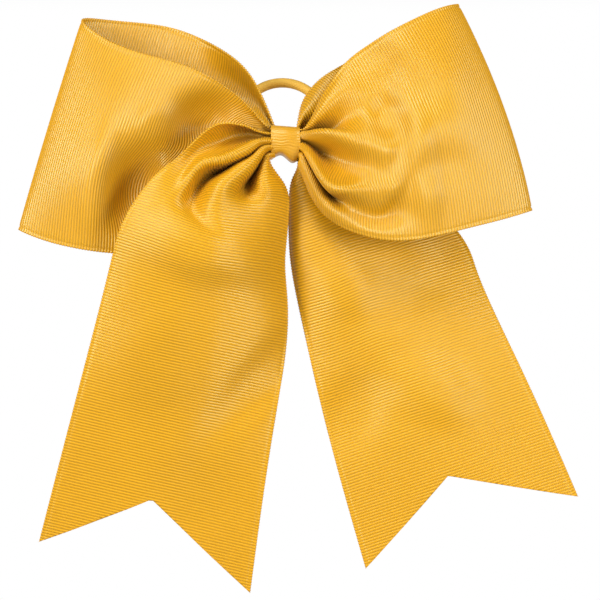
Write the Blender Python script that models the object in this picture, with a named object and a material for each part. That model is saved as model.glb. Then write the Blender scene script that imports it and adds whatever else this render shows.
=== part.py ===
"""Cheer hair bow: two loops and two notched tails of wide grosgrain ribbon, gathered at a
wrapped knot, with a covered elastic ring behind it. Metres, +Z up, the front faces -Y."""

import math

import bpy
import numpy as np

MM = 0.001

# Ribbon
RIBBON_THICKNESS = 1.0
RIBBON_ROWS = 40
RIBBON_COLUMNS = 14
PLEAT_DEPTH = 0.9

# Knot: a narrow band wrapped once round the gathered ribbon and the elastic
BAND_WIDTH = 10.6
BAND_THICKNESS = 0.5
BAND_TOP = 6.5
BAND_FRONT = -16.0
BAND_CROWN = 0.25
BAND_CORNER = 3.3
BAND_INNER_BACK = -1.4
BAND_OUTER_END = 4.5
BAND_INNER_END = -3.5
GAP = 0.3

# Glue between the band's overlapping ends
GLUE_MARGIN = 0.9
GLUE_BOTTOM = -2.8
GLUE_TOP = 2.2

# Gathered ribbon inside the band
WAIST_Y = -10.6
WAIST_HALF_LENGTH = 5.4
WAIST_HALF_HEIGHT = 5.4
WAIST_HALF_DEPTH = 4.6
WAIST_PINCH = 1.0
WAIST_PINCH_REACH = 2.4
WAIST_FOLDS = 7
WAIST_FOLD_DEPTH = 0.09
WAIST_SIDES = 42
WAIST_RINGS = 13

# Thread that ties the gathers
THREAD_RADIUS = 0.3
THREAD_TURNS = 5
THREAD_PITCH = 0.8
THREAD_STEPS = 18
THREAD_SIDES = 6

# Elastic ring
RING_RADIUS = 14.0
RING_HEIGHT = 26.3
RING_LEAN = math.radians(28)
RING_TILT = math.radians(7)
RING_FOOT = 4.0
RING_FILLET = 3.0
STRAND_REACH = 5.7
STRAND_Y = -3.95
COVER_RADIUS = 1.75
COVER_BORE = 1.25
CORE_RADIUS = 0.95
RING_SIDES = 12

# Points of the lines that the loops and tails turn about
LEFT_LOOP_PIVOT = (-5.8, -7.9, 0.0)
RIGHT_LOOP_PIVOT = (5.8, -14.2, 0.0)
LEFT_TAIL_PIVOT = (-20.0, -14.0, 7.0)
RIGHT_TAIL_PIVOT = (20.0, -7.0, -2.0)

# Depth of the V cut into each tail's end, as a share of the tail's length
NOTCH_LEFT = 0.049
NOTCH_RIGHT = 0.0554

# Pleats, each set as (centre, spread, waves): its place and reach as shares of the length
LOOP_ROWS = 60
LOOP_PLEATS = ((0.12, 0.10, 2.5), (0.88, 0.10, 2.5))
TAIL_PLEATS = ((0.22, 0.16, 2.5),)
PLEAT_FADE = 0.05

GOLD = (0.80, 0.37, 0.03, 1.0)
DEEP_GOLD = (0.62, 0.26, 0.02, 1.0)
THREAD_WHITE = (0.75, 0.72, 0.66, 1.0)
RUBBER_CREAM = (0.70, 0.62, 0.48, 1.0)
GLUE_CLEAR = (0.82, 0.78, 0.66, 1.0)

# Each station runs across the ribbon: (x, y, z) of one selvedge, of the other selvedge, and
# how far the middle of the ribbon stands off the straight line between them.
LEFT_LOOP = (
    ((-5.8, -11.5, 5.0), (-5.8, -11.5, -3.6), (0.0, 0.0, 0.0)),
    ((-10.1, -13.2, 9.9), (-10.3, -12.8, -10.3), (-1.0, -0.6, 0.0)),
    ((-16.5, -15.6, 16.3), (-18.3, -14.6, -20.9), (-1.2, -1.0, 0.0)),
    ((-25.4, -18.4, 22.3), (-30.7, -16.4, -31.6), (-1.0, -1.4, 0.0)),
    ((-36.0, -20.6, 27.0), (-45.0, -17.8, -37.0), (-0.5, -1.6, 0.0)),
    ((-48.4, -21.4, 30.5), (-60.1, -18.2, -38.3), (0.0, -1.2, 0.0)),
    ((-58.3, -20.2, 34.0), (-75.0, -17.4, -36.2), (0.0, -0.8, 0.0)),
    ((-66.1, -16.8, 38.6), (-86.2, -15.0, -33.1), (-0.6, -0.6, 0.0)),
    ((-71.5, -10.6, 44.0), (-93.8, -10.4, -29.8), (-0.8, 0.0, 0.0)),
    ((-65.5, -3.4, 44.6), (-86.0, -4.2, -31.0), (-0.6, 0.4, 0.0)),
    ((-55.5, 1.2, 44.2), (-73.0, 0.8, -32.4), (0.0, 0.8, 0.0)),
    ((-43.1, 4.2, 42.9), (-58.0, 3.6, -32.6), (0.0, 1.0, 0.0)),
    ((-32.4, 3.4, 39.4), (-43.0, 3.2, -30.2), (0.0, 0.8, 0.0)),
    ((-21.8, -1.4, 33.3), (-28.5, -1.4, -23.0), (-0.5, 0.4, 0.0)),
    ((-13.4, -5.7, 25.2), (-16.5, -6.0, -13.5), (-0.8, 0.0, 0.0)),
    ((-8.0, -7.8, 15.0), (-9.2, -8.0, -7.0), (-0.4, 0.0, 0.0)),
    ((-5.8, -8.5, 5.6), (-5.8, -8.5, -4.2), (0.0, 0.0, 0.0)),
)
RIGHT_LOOP = (
    ((5.8, -13.5, 4.8), (5.8, -13.5, -4.8), (0.0, 0.0, 0.0)),
    ((8.2, -15.0, 8.8), (7.9, -14.2, -14.2), (1.2, -0.6, 0.0)),
    ((11.5, -17.2, 16.5), (13.0, -16.0, -23.6), (1.4, -1.0, 0.0)),
    ((18.0, -20.2, 26.3), (22.4, -18.4, -30.6), (1.0, -1.4, 0.0)),
    ((27.1, -22.8, 33.2), (34.4, -20.8, -33.7), (0.4, -1.6, 0.0)),
    ((37.6, -23.8, 39.4), (48.6, -21.6, -33.1), (0.0, -1.2, 0.0)),
    ((46.6, -22.4, 43.9), (61.6, -20.6, -30.0), (0.0, -0.6, 0.0)),
    ((54.4, -18.4, 47.4), (75.2, -17.2, -26.6), (0.4, -0.4, 0.0)),
    ((60.1, -11.6, 49.0), (86.0, -11.4, -23.2), (0.6, 0.0, 0.0)),
    ((54.6, -4.6, 46.8), (77.8, -4.8, -25.0), (0.4, 0.4, 0.0)),
    ((45.0, -0.4, 43.0), (65.0, -0.8, -27.4), (0.0, 0.8, 0.0)),
    ((34.6, 1.8, 38.0), (50.5, 1.4, -29.2), (0.0, 0.8, 0.0)),
    ((25.0, 0.4, 32.0), (36.5, 0.4, -28.8), (0.0, 0.6, 0.0)),
    ((16.4, -3.2, 26.4), (23.5, -3.2, -23.6), (0.5, 0.3, 0.0)),
    ((10.0, -7.4, 20.8), (13.6, -7.6, -15.6), (0.6, 0.0, 0.0)),
    ((7.0, -9.6, 14.2), (8.0, -9.8, -8.2), (0.3, 0.0, 0.0)),
    ((5.8, -10.6, 5.6), (5.8, -10.6, -3.4), (0.0, 0.0, 0.0)),
)
LEFT_TAIL = (
    ((-6.0, -14.2, 3.0), (-6.0, -14.0, -5.0), (0.0, 0.0, 0.0)),
    ((-12.6, -17.0, 5.2), (-5.7, -14.6, -8.0), (-1.0, -1.4, 0.6)),
    ((-21.0, -20.8, 6.0), (-3.4, -15.0, -11.6), (-1.6, -2.4, 0.8)),
    ((-30.0, -24.4, 2.6), (-0.6, -15.2, -15.6), (-1.0, -3.0, 0.8)),
    ((-39.4, -27.2, -5.8), (0.8, -15.4, -21.0), (-0.6, -3.2, 0.4)),
    ((-48.6, -28.6, -15.2), (0.4, -15.6, -28.4), (0.0, -3.0, 0.0)),
    ((-55.6, -28.4, -26.0), (-0.8, -15.6, -38.6), (0.0, -2.6, 0.0)),
    ((-60.4, -26.0, -41.4), (0.1, -15.0, -52.6), (0.0, -2.2, 0.0)),
    ((-67.1, -21.4, -66.0), (0.2, -13.2, -74.6), (0.0, -1.6, 0.0)),
    ((-76.0, -15.4, -98.6), (-3.8, -10.0, -100.0), (0.0, -0.8, 0.0)),
    ((-87.1, -8.2, -139.7), (-12.8, -5.6, -158.0), (0.0, 0.0, 0.0)),
)
RIGHT_TAIL = (
    ((6.0, -7.3, -5.2), (6.0, -7.3, 0.0), (0.0, 0.0, 0.0)),
    ((5.9, -7.2, -8.0), (12.0, -5.4, -2.4), (0.6, 0.0, -0.4)),
    ((3.8, -6.8, -11.4), (20.4, -1.4, -4.0), (0.6, 0.4, -0.6)),
    ((1.8, -6.2, -15.6), (30.0, 3.6, -6.6), (0.4, 0.8, -0.6)),
    ((1.0, -5.4, -21.2), (39.6, 6.6, -11.2), (0.0, 0.8, 0.0)),
    ((1.0, -4.6, -29.4), (49.0, 7.8, -18.4), (0.0, 0.6, 0.0)),
    ((1.6, -4.0, -41.0), (57.4, 7.6, -27.8), (0.0, 0.4, 0.0)),
    ((3.8, -3.8, -55.6), (65.8, 6.0, -40.0), (0.0, 0.2, 0.0)),
    ((8.9, -3.8, -81.0), (76.2, 3.2, -63.6), (0.0, 0.0, 0.0)),
    ((16.2, -4.2, -108.6), (88.4, 0.0, -90.4), (0.0, 0.0, 0.0)),
    ((28.0, -6.0, -149.4), (103.1, -4.0, -124.1), (0.0, 0.0, 0.0)),
)


def material(name, colour, roughness):
    made = bpy.data.materials.new(name)
    made.use_nodes = True
    shader = made.node_tree.nodes["Principled BSDF"]
    shader.inputs["Base Color"].default_value = colour
    shader.inputs["Roughness"].default_value = roughness
    made.diffuse_color = colour
    return made


def add(name, points, faces, colour, roughness=0.8, origin=(0.0, 0.0, 0.0)):
    """A mesh object whose points are in millimetres in the shared frame."""
    origin = np.array(origin)
    mesh = bpy.data.meshes.new(name)
    mesh.from_pydata(((np.asarray(points) - origin) * MM).tolist(), [], faces)
    mesh.validate()
    made = bpy.data.objects.new(name, mesh)
    made.location = (origin * MM).tolist()
    mesh.materials.append(material(name, colour, roughness))
    bpy.context.scene.collection.objects.link(made)
    return made


def along(values, where):
    """Catmull-Rom through evenly numbered values, read at where (0 to 1)."""
    values = np.asarray(values, float)
    last = len(values) - 1
    place = np.clip(np.asarray(where, float) * last, 0, last)
    index = np.minimum(place.astype(int), last - 1)
    t = (place - index).reshape((-1,) + (1,) * (values.ndim - 1))
    before = values[np.maximum(index - 1, 0)]
    start, end = values[index], values[index + 1]
    after = values[np.minimum(index + 2, last)]
    before = np.where((index == 0).reshape(t.shape), 2 * start - end, before)
    after = np.where((index == last - 1).reshape(t.shape), 2 * end - start, after)
    return 0.5 * (
        2 * start
        + (end - before) * t
        + (2 * before - 5 * start + 4 * end - after) * t * t
        + (3 * start - before - 3 * end + after) * t * t * t
    )


def grid_normals(grid):
    """Unit normals of a grid of points."""
    down = np.gradient(grid, axis=0)
    across = np.gradient(grid, axis=1)
    normal = np.cross(down, across)
    return normal / np.linalg.norm(normal, axis=2, keepdims=True)


def sheet_solid(grid, thickness):
    """Points and faces of a closed sheet of even thickness about the grid."""
    rows, columns = grid.shape[:2]
    offset = grid_normals(grid) * thickness / 2
    points = np.concatenate([(grid + offset).reshape(-1, 3), (grid - offset).reshape(-1, 3)])
    count = rows * columns
    faces = []
    for r in range(rows - 1):
        for c in range(columns - 1):
            a = r * columns + c
            b, d, e = a + 1, a + columns, a + columns + 1
            faces.append((a, d, e, b))
            faces.append((count + a, count + b, count + e, count + d))
    rim = list(range(columns))
    rim += [r * columns + columns - 1 for r in range(1, rows)]
    rim += [(rows - 1) * columns + c for c in range(columns - 2, -1, -1)]
    rim += [r * columns for r in range(rows - 2, 0, -1)]
    for here, there in zip(rim, rim[1:] + rim[:1]):
        faces.append((here, there, count + there, count + here))
    return points, faces


def ribbon_grid(stations, notch=0.0, pleats=(), rows=RIBBON_ROWS):
    """Lofts the stations; the last row is cut back towards its middle by the notch."""
    stations = np.array(stations, float)
    across = np.linspace(0, 1, RIBBON_COLUMNS + 1)
    grid = np.empty((rows + 1, len(across), 3))
    for c, v in enumerate(across):
        cut = 1 - notch * (1 - abs(2 * v - 1))
        place = along(stations, np.linspace(0, cut, rows + 1))
        line = (1 - v) * place[:, 0] + v * place[:, 1]
        grid[:, c] = line + 4 * v * (1 - v) * place[:, 2]
    normal = grid_normals(grid)
    u = np.linspace(0, 1, rows + 1)[:, None]
    for centre, spread, waves in pleats:
        fade = np.exp(-(((u - centre) / spread) ** 2))
        fade = fade * np.clip(np.minimum(u, 1 - u) / PLEAT_FADE, 0, 1)
        shape = np.sin(np.pi * across) * np.cos(2 * np.pi * waves * across)
        grid = grid + normal * (PLEAT_DEPTH * fade * shape)[..., None]
    return grid


def ribbon(name, stations, origin, notch=0.0, pleats=(), rows=RIBBON_ROWS):
    grid = ribbon_grid(stations, notch, pleats, rows)
    points, faces = sheet_solid(grid, RIBBON_THICKNESS)
    return facing_out(add(name, points, faces, GOLD, origin=origin))


def facing_out(made):
    """Turns every face round when the closed mesh is inside out."""
    mesh = made.data
    mesh.calc_loop_triangles()
    volume = 0.0
    for face in mesh.loop_triangles:
        a, b, c = (mesh.vertices[i].co for i in face.vertices)
        volume += a.dot(b.cross(c))
    if volume < 0:
        mesh.flip_normals()
    return made


def tube(path, frames, radii, sides, closed):
    """Rings of points about the path, with their side faces; frames are (right, up) pairs."""
    points, faces = [], []
    for place, (right, up), radius in zip(path, frames, radii):
        for side in range(sides):
            angle = 2 * math.pi * side / sides
            points.append(place + radius * (math.cos(angle) * right + math.sin(angle) * up))
    count = len(path)
    for i in range(count if closed else count - 1):
        j = (i + 1) % count
        for side in range(sides):
            k = (side + 1) % sides
            faces.append((i * sides + side, i * sides + k, j * sides + k, j * sides + side))
    if not closed:
        faces.append(tuple(range(sides))[::-1])
        faces.append(tuple((count - 1) * sides + side for side in range(sides)))
    return np.array(points), faces


def ring_path(steps=44, turn_steps=6):
    """The ring's centre line in its own plane: a tilted circle whose foot is a straight strand."""
    centre = RING_HEIGHT - RING_RADIUS
    start = math.asin((RING_FOOT - centre) / RING_RADIUS)
    sweep = np.linspace(start, math.pi - start, steps)
    upright = np.stack([RING_RADIUS * np.cos(sweep), centre + RING_RADIUS * np.sin(sweep)], -1)
    cos, sin = math.cos(RING_TILT), math.sin(RING_TILT)
    circle = upright @ np.array(((cos, sin), (-sin, cos)))
    right = ring_turn(1, circle[0], turn_steps)
    left = ring_turn(-1, circle[-1], turn_steps)[::-1]
    strand = [(x, 0.0) for x in np.linspace(-STRAND_REACH, STRAND_REACH, 8)[1:-1]]
    return np.array(strand + right + circle.tolist() + left)


def ring_turn(side, end, steps):
    """The bend from the end of the straight strand, on side +1 or -1, up to the circle."""
    begin = np.array((side * STRAND_REACH, 0.0))
    pull = np.array((side * (STRAND_REACH + RING_FILLET), 0.2))
    return [
        (1 - t) ** 2 * begin + 2 * t * (1 - t) * pull + t * t * end
        for t in np.linspace(0, 1, steps, endpoint=False)
    ]


def ring_frames():
    """World path of the ring and, at each point, two unit vectors across it."""
    flat = ring_path()
    up = np.array((0.0, math.sin(RING_LEAN), math.cos(RING_LEAN)))
    normal = np.array((0.0, -math.cos(RING_LEAN), math.sin(RING_LEAN)))
    side = np.array((1.0, 0.0, 0.0))
    path = np.array((0.0, STRAND_Y, 0.0)) + flat[:, :1] * side + flat[:, 1:] * up
    tangent = np.roll(path, -1, axis=0) - np.roll(path, 1, axis=0)
    tangent /= np.linalg.norm(tangent, axis=1, keepdims=True)
    return path, [(normal, np.cross(t, normal)) for t in tangent]


def elastic():
    path, frames = ring_frames()
    origin = (0.0, STRAND_Y, 0.0)
    # The cover's two ends meet with a narrow slit inside the knot.
    middle = int(np.argmin(np.abs(path[:, 0]) + np.abs(path[:, 2])))
    order = [(middle + i) % len(path) for i in range(1, len(path))]
    opened = [path[i] for i in order]
    across = [frames[i] for i in order]
    outer, outer_faces = tube(opened, across, [COVER_RADIUS] * len(opened), RING_SIDES, False)
    inner, inner_faces = tube(opened, across, [COVER_BORE] * len(opened), RING_SIDES, False)
    faces = outer_faces[:-2] + [tuple(i + len(outer) for i in f[::-1]) for f in inner_faces[:-2]]
    last = (len(opened) - 1) * RING_SIDES
    for side in range(RING_SIDES):
        k = (side + 1) % RING_SIDES
        faces.append((k, side, len(outer) + side, len(outer) + k))
        faces.append((last + side, last + k, len(outer) + last + k, len(outer) + last + side))
    points = np.concatenate([outer, inner])
    facing_out(add("elastic_cover", points, faces, DEEP_GOLD, 0.85, origin))
    core, core_faces = tube(path, frames, [CORE_RADIUS] * len(path), RING_SIDES, True)
    facing_out(add("elastic_core", core, core_faces, RUBBER_CREAM, 0.6, origin))


def waist_scale(x):
    """How much of its full section the gathered ribbon has at x: pinched in the middle."""
    flare = (abs(x) - WAIST_PINCH_REACH) / (WAIST_HALF_LENGTH - WAIST_PINCH_REACH)
    flare = np.clip(flare, 0, 1)
    return flare * flare * (3 - 2 * flare)


def waist():
    points, faces = [], []
    for x in np.linspace(-WAIST_HALF_LENGTH, WAIST_HALF_LENGTH, WAIST_RINGS):
        full = waist_scale(x)
        pinch = WAIST_PINCH * (1 - full)
        for side in range(WAIST_SIDES):
            angle = 2 * math.pi * side / WAIST_SIDES
            fold = WAIST_FOLD_DEPTH * full * (0.5 - 0.5 * math.cos(WAIST_FOLDS * 2 * angle))
            height = (WAIST_HALF_HEIGHT - pinch) * (1 - fold)
            depth = (WAIST_HALF_DEPTH - pinch) * (1 - fold)
            points.append((x, WAIST_Y + depth * math.cos(angle), height * math.sin(angle)))
    for i in range(WAIST_RINGS - 1):
        row, after = i * WAIST_SIDES, (i + 1) * WAIST_SIDES
        for side in range(WAIST_SIDES):
            k = (side + 1) % WAIST_SIDES
            faces.append((row + side, row + k, after + k, after + side))
    last = (WAIST_RINGS - 1) * WAIST_SIDES
    faces.append(tuple(range(WAIST_SIDES))[::-1])
    faces.append(tuple(last + side for side in range(WAIST_SIDES)))
    facing_out(add("gathered_waist", points, faces, GOLD))


def thread():
    clear = GAP + THREAD_RADIUS - WAIST_PINCH
    height, depth = WAIST_HALF_HEIGHT + clear, WAIST_HALF_DEPTH + clear
    steps = THREAD_TURNS * THREAD_STEPS
    path, frames = [], []
    side = np.array((1.0, 0.0, 0.0))
    for i in range(steps + 1):
        angle = 2 * math.pi * THREAD_TURNS * i / steps
        x = THREAD_PITCH * THREAD_TURNS * (i / steps - 0.5)
        out = np.array((0.0, math.cos(angle) / depth, math.sin(angle) / height))
        path.append(np.array((x, WAIST_Y + depth * math.cos(angle), height * math.sin(angle))))
        frames.append((side, out / np.linalg.norm(out)))
    points, faces = tube(path, frames, [THREAD_RADIUS] * len(path), THREAD_SIDES, False)
    facing_out(add("binding_thread", points, faces, THREAD_WHITE, 0.7))


def arc(centre, radius, start, end, steps=8):
    """Points of an arc in the (y, z) plane, angles in degrees from +y towards +z."""
    return [
        (centre[0] + radius * math.cos(a), centre[1] + radius * math.sin(a))
        for a in np.radians(np.linspace(start, end, steps))
    ]


def band():
    half = BAND_THICKNESS / 2
    top, front, corner = BAND_TOP - half, BAND_FRONT + half, BAND_CORNER
    inner, outer = BAND_INNER_BACK - half, -half
    line = [(inner, BAND_INNER_END), (inner, top - corner)]
    line += arc((inner - corner, top - corner), corner, 10, 90)
    line += arc((front + corner, top - corner), corner, 90, 170)
    line.append((front - BAND_CROWN, 0.0))
    line += arc((front + corner, corner - top), corner, 190, 270)
    line += arc((outer - corner, corner - top), corner, 270, 350)
    line += [(outer, corner - top), (outer, 0.0), (outer, BAND_OUTER_END)]
    line = np.array(line)
    across = np.linspace(-BAND_WIDTH / 2, BAND_WIDTH / 2, 5)
    grid = np.array([[(x, y, z) for x in across] for y, z in line])
    points, faces = sheet_solid(grid, BAND_THICKNESS)
    facing_out(add("knot_band", points, faces, GOLD))


def glue():
    half = BAND_WIDTH / 2 - GLUE_MARGIN
    depths = (BAND_INNER_BACK + GAP, -BAND_THICKNESS - GAP)
    heights = (GLUE_BOTTOM, GLUE_TOP)
    points = [(x, y, z) for x in (-half, half) for y in depths for z in heights]
    faces = [(0, 1, 3, 2), (4, 6, 7, 5), (0, 4, 5, 1), (2, 3, 7, 6), (0, 2, 6, 4), (1, 5, 7, 3)]
    facing_out(add("knot_glue", points, faces, GLUE_CLEAR, 0.4))


def main():
    for old in list(bpy.data.objects):
        bpy.data.objects.remove(old, do_unlink=True)
    bpy.context.scene.unit_settings.scale_length = 1.0
    waist()
    thread()
    band()
    glue()
    elastic()
    ribbon("left_loop", LEFT_LOOP, LEFT_LOOP_PIVOT, pleats=LOOP_PLEATS, rows=LOOP_ROWS)
    ribbon("right_loop", RIGHT_LOOP, RIGHT_LOOP_PIVOT, pleats=LOOP_PLEATS, rows=LOOP_ROWS)
    ribbon("left_tail", LEFT_TAIL, LEFT_TAIL_PIVOT, NOTCH_LEFT, TAIL_PLEATS)
    ribbon("right_tail", RIGHT_TAIL, RIGHT_TAIL_PIVOT, NOTCH_RIGHT, TAIL_PLEATS)


main()
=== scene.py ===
"""Looks of the cheer hair bow: ribbed ribbon loops and tails with pleats, a wrapped knot and a
covered elastic ring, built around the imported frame. Metres in Blender, millimetres in the tables."""

import math

import bpy
import numpy as np
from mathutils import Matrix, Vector


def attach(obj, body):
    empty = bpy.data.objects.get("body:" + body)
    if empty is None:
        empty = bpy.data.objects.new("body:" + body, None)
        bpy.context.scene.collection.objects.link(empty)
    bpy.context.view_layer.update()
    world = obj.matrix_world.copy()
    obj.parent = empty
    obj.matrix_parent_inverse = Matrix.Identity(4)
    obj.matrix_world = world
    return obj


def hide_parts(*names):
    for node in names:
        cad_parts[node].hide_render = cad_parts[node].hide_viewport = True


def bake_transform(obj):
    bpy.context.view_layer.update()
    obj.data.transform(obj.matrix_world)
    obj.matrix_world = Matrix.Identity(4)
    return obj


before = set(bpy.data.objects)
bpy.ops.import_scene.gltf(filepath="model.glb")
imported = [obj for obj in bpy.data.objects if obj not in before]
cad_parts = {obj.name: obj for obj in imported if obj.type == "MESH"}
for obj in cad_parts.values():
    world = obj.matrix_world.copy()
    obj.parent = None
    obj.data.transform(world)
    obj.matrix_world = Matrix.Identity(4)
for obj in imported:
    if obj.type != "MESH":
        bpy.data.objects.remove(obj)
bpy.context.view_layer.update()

MM = 0.001

# Ribbon: 3 inch grosgrain
RIBBON_WIDTH = 76.2
RIB_PITCH = 1.02
ROWS_PER_RIB = 4
HALF_THICKNESS = 0.13
RIB_HEIGHT = 0.28
SELVEDGE = (0.0, 0.005, 0.011, 0.0165, 0.022, 0.032)
INNER_COLUMNS = 45
GROOVE_AT = 1.25
GROOVE_WIDTH = 0.33
GROOVE_DEPTH = 0.8
SCALLOP = 0.14
FINE_ACROSS = 240
FINE_ALONG = 3
DENT_FALL = 3.2

# Knot band: 3/8 inch grosgrain
BAND_WIDTH = 10.4
BAND_PITCH = 1.0
BAND_ROWS_PER_RIB = 8
BAND_HALF_THICKNESS = 0.15
BAND_SELVEDGE = (0.0, 0.02, 0.05, 0.085, 0.12, 0.16)
BAND_INNER_COLUMNS = 18
BAND_GROOVE_AT = 0.8
BAND_GROOVE_WIDTH = 0.25
BAND_GROOVE_DEPTH = 0.7

# Waist inside the band and the thread round it: ovals, each place and reach as (y, z)
WAIST_CENTRE = (-10.6, 0.9)
WAIST_REACH = (3.9, 3.5)
WAIST_HALF_LENGTH = 5.3
THREAD_REACH = (3.75, 3.4)
THREAD_HALF_LENGTH = 2.0
THREAD_RADIUS = 0.24
THREAD_PLY = 0.06

# Camera: level, a metre away
CAMERA_PLACE = (4.8, -1000.0, -54.6)
LENS = 169.0
SENSOR = 36.0

# Stage: the floor's height and half width, where along Y it fades to white, what the lamps face
FLOOR = -190.0
FLOOR_REACH = 4000.0
FLOOR_FADE = (140.0, 260.0)
LAMP_AIM = (0.0, 0.0, -50.0)

# Elastic ring, as in the frame
STRAND = (0.0, -3.95, 0.0)
RING_RADIUS = 14.0
RING_HEIGHT = 26.3
RING_LEAN = math.radians(28)
RING_TILT = math.radians(7)
RING_FOOT = 4.0
RING_FILLET = 3.0
STRAND_REACH = 5.7
COVER_RADIUS = 1.7
BRAID_STRANDS = 4
BRAID_PITCH = 2.4
BRAID_RELIEF = 0.045

# Ribbon colours and the tints of their gloss, linear
TAIL_GOLD = (0.76, 0.36, 0.003, 1.0)
LOOP_GOLD = (0.75, 0.352, 0.003, 1.0)
BAND_GOLD = (0.64, 0.31, 0.006, 1.0)
# Painted shade: the two colours below darken the grooves between the ribs, where their shadow falls; the
# first also mottles the hidden waist
DARK_GOLD_AND_GROOVE_SHADE = (0.46, 0.21, 0.004, 1.0)
BAND_GROOVE_SHADE = (0.6, 0.29, 0.006, 1.0)
# Painted shade laid into narrow hollows and deep pleats by ambient occlusion
HOLLOW_PAINTED_SHADE = (0.37, 0.18, 0.014, 1.0)
# A painted glint: a paler gold mixed into the yarn streaks
GLINT = (0.82, 0.455, 0.015, 1.0)
LOOP_TINT = (0.72, 1.0, 0.72, 1.0)
TAIL_TINT = (0.8, 1.0, 0.65, 1.0)


# ---------------------------------------------------------------- shape tools


def spline(values, knots, where):
    """Natural cubic spline through values (any shape after axis 0) at knots, read at where."""
    values = np.asarray(values, float)
    shape = values.shape
    flat = values.reshape(shape[0], -1)
    count = shape[0]
    step = np.diff(knots)
    system = np.eye(count)
    target = np.zeros_like(flat)
    for i in range(1, count - 1):
        system[i, i - 1] = step[i - 1]
        system[i, i] = 2 * (step[i - 1] + step[i])
        system[i, i + 1] = step[i]
        rise = (flat[i + 1] - flat[i]) / step[i] - (flat[i] - flat[i - 1]) / step[i - 1]
        target[i] = 6 * rise
    bend = np.linalg.solve(system, target)
    where = np.asarray(where, float)
    at = np.clip(np.searchsorted(knots, where, side="right") - 1, 0, count - 2)
    h = step[at][:, None]
    a = (np.asarray(knots)[at + 1] - where)[:, None] / h
    b = 1 - a
    found = a * flat[at] + b * flat[at + 1]
    found = found + ((a**3 - a) * bend[at] + (b**3 - b) * bend[at + 1]) * h * h / 6
    return found.reshape((len(where),) + shape[1:])


def plain(first, last, bulge, rails, side=0.0):
    """A station whose points lie evenly between its two selvedges, bowed by bulge along Y and by
    side along X."""
    share = np.linspace(0, 1, rails)[:, None]
    line = (1 - share) * np.array(first) + share * np.array(last)
    bow = 4 * share[:, 0] * (1 - share[:, 0])
    line[:, 0] += side * bow
    line[:, 1] += bulge * bow
    return line.tolist()


def fan(top, bottom, depths, side=0.0):
    """A station with evenly spaced rails from top to bottom (x, z), each at its own depth, bowed
    by side along X."""
    rows = len(depths)
    station = []
    for i, depth in enumerate(depths):
        share = i / (rows - 1)
        bow = side * 4 * share * (1 - share)
        x = (1 - share) * top[0] + share * bottom[0] + bow
        z = (1 - share) * top[1] + share * bottom[1]
        station.append((x, depth, z))
    return station


def places_across(selvedge, columns):
    """Shares of a ribbon's width, 0 to 1: fine along both selvedges, evenly spaced between."""
    edge = np.array(selvedge)
    inner = np.linspace(edge[-1], 1 - edge[-1], columns)
    return np.concatenate([edge[:-1], inner, 1 - edge[-2::-1]])


def read_at(where, known, values):
    """Rows of values, known at rising places, read at others."""
    return np.stack([np.interp(where, known, column) for column in values.T], axis=-1)


def distance_along(line, power=1.0):
    """How far along a line each of its points lies. A power below 1 evens out its steps."""
    steps = np.linalg.norm(np.diff(line, axis=0), axis=1)
    return np.concatenate([[0], np.cumsum(steps ** power)])


def station_places(stations):
    """How far along a ribbon each station lies, as the mean of its rails."""
    gaps = np.linalg.norm(np.diff(stations, axis=0), axis=2).mean(axis=1)
    return np.concatenate([[0], np.cumsum(gaps)])


def even_row(rails, across):
    """One row: a smooth curve through its rails, read at even shares of its length."""
    knots = distance_along(rails, 0.6)
    curve = spline(rails, knots, np.linspace(0, knots[-1], FINE_ACROSS))
    length = distance_along(curve)
    return read_at(across * length[-1], length, curve)


def loft(stations, across):
    """A dense grid of points through the stations, and the dense row of each station."""
    stations = np.array(stations, float)
    knots = station_places(stations)
    places = np.linspace(0, knots[-1], int(knots[-1] * FINE_ALONG))
    rails = spline(stations, knots, places)
    dense = np.array([even_row(row, across) for row in rails])
    return dense, np.searchsorted(places, knots)


def press(grid, rows, dents):
    """Pushes soft dents into the first rows of a grid, each (x, z, half width, half height, turn
    in degrees, depth along +Y); a negative depth raises a swelling."""
    for x, z, width, height, turn, depth in dents:
        cos, sin = math.cos(math.radians(turn)), math.sin(math.radians(turn))
        over, up = grid[:rows, :, 0] - x, grid[:rows, :, 2] - z
        reach = np.hypot((over * cos + up * sin) / width, (up * cos - over * sin) / height)
        grid[:rows, :, 1] += depth * np.exp(-(reach ** DENT_FALL))


def normals_of(grid):
    """The unit normal at each point of a grid."""
    down = np.gradient(grid, axis=0)
    over = np.gradient(grid, axis=1)
    normal = np.cross(down, over)
    return normal / np.maximum(np.linalg.norm(normal, axis=2, keepdims=True), 1e-9)


def edge_direction(grid, edge, inside):
    """Unit vectors that point out of the ribbon along one of its selvedges."""
    outward = grid[:, edge] - grid[:, inside]
    return outward / np.maximum(np.linalg.norm(outward, axis=1, keepdims=True), 1e-9)


def selvedge_groove(across, width, at, reach, depth):
    """The ribs' share of their height at each place across: less in a groove by each selvedge."""
    edge = np.minimum(across, 1 - across) * width
    return 1 - depth * np.exp(-(((edge - at) / reach) ** 2))


def run_to(dense, row):
    """How far each point of a grid lies from one row, along its own thread."""
    steps = np.linalg.norm(np.diff(dense, axis=0), axis=2)
    run = np.concatenate([np.zeros((1, dense.shape[1])), np.cumsum(steps, axis=0)])
    return run[row] - run


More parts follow.
